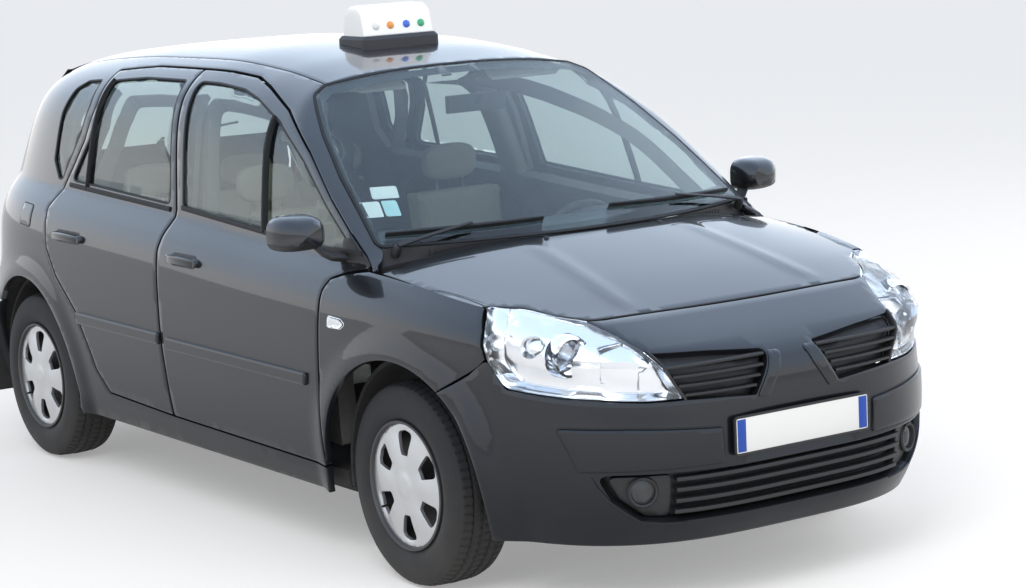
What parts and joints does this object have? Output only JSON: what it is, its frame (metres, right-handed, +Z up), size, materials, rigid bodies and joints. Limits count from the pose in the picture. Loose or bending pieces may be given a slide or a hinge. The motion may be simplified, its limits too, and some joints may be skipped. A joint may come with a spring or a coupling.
{
  "type": "taxi cab",
  "caption": "Compact people-carrier taxi with a domed roof sign, hinged doors, bonnet and tailgate, steered front wheels and a furnished cabin.",
  "frame": {"origin": "centre of the bounding box at floor level, under the tyres", "axes": "+X towards the front of the car, +Y to its left, +Z up"},
  "size_m": [4.2578, 2.06, 1.75],
  "materials": {
    "paint": "metallic gloss",
    "glass": "clear tinted",
    "lamp_clear": "clear",
    "lamp_red": "clear red",
    "black_plastic": "grained",
    "plate": "gloss",
    "tyre": "matt",
    "wheel_silver": "silver paint",
    "steel": "plain",
    "iron": "cast",
    "cloth": "woven",
    "dash": "soft grain",
    "sign": "white gloss",
    "mirror": "gloss"
  },
  "bodies": {
    "car_body": {"roof_panel": "paint", "body_side_left": "paint", "body_side_right": "paint", "quarter_glass": "glass", "windscreen": "glass", "front_fender_left": "paint", "front_fender_right": "paint", "front_bumper": "paint", "headlamps": "lamp_clear", "grilles": "black_plastic", "number_plate_front": "plate", "rear_bumper": "paint", "tail_lamps": "lamp_red", "floor_pan": "paint", "engine": "iron", "front_subframe": "steel", "rear_axle": "steel", "exhaust": "steel", "fuel_tank": "black_plastic", "front_seats": "cloth", "rear_seats": "cloth", "dashboard": "dash", "cowl": "black_plastic", "interior_mirror": "black_plastic", "roof_sign": "sign", "wipers": "black_plastic", "arch_liners": "black_plastic"},
    "front_door_left": {"door_front_left": "paint", "mirror_left": "mirror"},
    "rear_door_left": {"door_rear_left": "paint"},
    "knuckle_left": {"knuckle_left": "steel"},
    "front_door_right": {"door_front_right": "paint", "mirror_right": "mirror"},
    "rear_door_right": {"door_rear_right": "paint"},
    "knuckle_right": {"knuckle_right": "steel"},
    "bonnet": {"bonnet": "paint"},
    "tailgate": {"tailgate": "paint"},
    "steering_wheel": {"steering_wheel": "dash"},
    "wheel_front_left": {"wheel_front_left": "wheel_silver", "tyre_front_left": "tyre"},
    "wheel_front_right": {"wheel_front_right": "wheel_silver", "tyre_front_right": "tyre"},
    "wheel_rear_left": {"wheel_rear_left": "wheel_silver", "tyre_rear_left": "tyre"},
    "wheel_rear_right": {"wheel_rear_right": "wheel_silver", "tyre_rear_right": "tyre"}
  },
  "joints": [
    {"name": "steering_turn", "type": "hinge", "parent": "car_body", "child": "steering_wheel", "pos_m": [0.47, 0.37, 0.86], "axis": [-0.9292, 0, 0.3697], "range_deg": [-465, 465]},
    {"name": "steer_left", "type": "hinge", "parent": "car_body", "child": "knuckle_left", "pos_m": [1.2095, 0.673, 0.326], "axis": [0, 0, 1], "range_deg": [-31, 31]},
    {"name": "steer_right", "type": "hinge", "parent": "car_body", "child": "knuckle_right", "pos_m": [1.2095, -0.673, 0.326], "axis": [0, 0, 1], "range_deg": [-31, 31]},
    {"name": "roll_front_left", "type": "hinge", "parent": "knuckle_left", "child": "wheel_front_left", "pos_m": [1.2095, 0.753, 0.326], "axis": [0, 1, 0], "continuous": true},
    {"name": "roll_front_right", "type": "hinge", "parent": "knuckle_right", "child": "wheel_front_right", "pos_m": [1.2095, -0.753, 0.326], "axis": [0, 1, 0], "continuous": true},
    {"name": "roll_rear_left", "type": "hinge", "parent": "car_body", "child": "wheel_rear_left", "pos_m": [-1.4755, 0.753, 0.326], "axis": [0, 1, 0], "continuous": true},
    {"name": "roll_rear_right", "type": "hinge", "parent": "car_body", "child": "wheel_rear_right", "pos_m": [-1.4755, -0.753, 0.326], "axis": [0, 1, 0], "continuous": true},
    {"name": "front_door_left_open", "type": "hinge", "parent": "car_body", "child": "front_door_left", "pos_m": [0.85, 0.908, 0.62], "axis": [0, 0, -1], "range_deg": [0, 62]},
    {"name": "rear_door_left_open", "type": "hinge", "parent": "car_body", "child": "rear_door_left", "pos_m": [-0.292, 0.908, 0.62], "axis": [0, 0, -1], "range_deg": [0, 65]},
    {"name": "front_door_right_open", "type": "hinge", "parent": "car_body", "child": "front_door_right", "pos_m": [0.85, -0.908, 0.62], "axis": [0, 0, 1], "range_deg": [0, 62]},
    {"name": "rear_door_right_open", "type": "hinge", "parent": "car_body", "child": "rear_door_right", "pos_m": [-0.292, -0.908, 0.62], "axis": [0, 0, 1], "range_deg": [0, 65]},
    {"name": "bonnet_open", "type": "hinge", "parent": "car_body", "child": "bonnet", "pos_m": [1.05, 0, 1.05], "axis": [0, -1, 0], "range_deg": [0, 48]},
    {"name": "tailgate_open", "type": "hinge", "parent": "car_body", "child": "tailgate", "pos_m": [-1.69, 0, 1.56], "axis": [0, 1, 0], "range_deg": [0, 82]}
  ],
  "couplings": [
    {"joint": "steer_right", "follows": "steer_left", "ratio": 1},
    {"joint": "steering_turn", "follows": "steer_left", "ratio": 15}
  ]
}
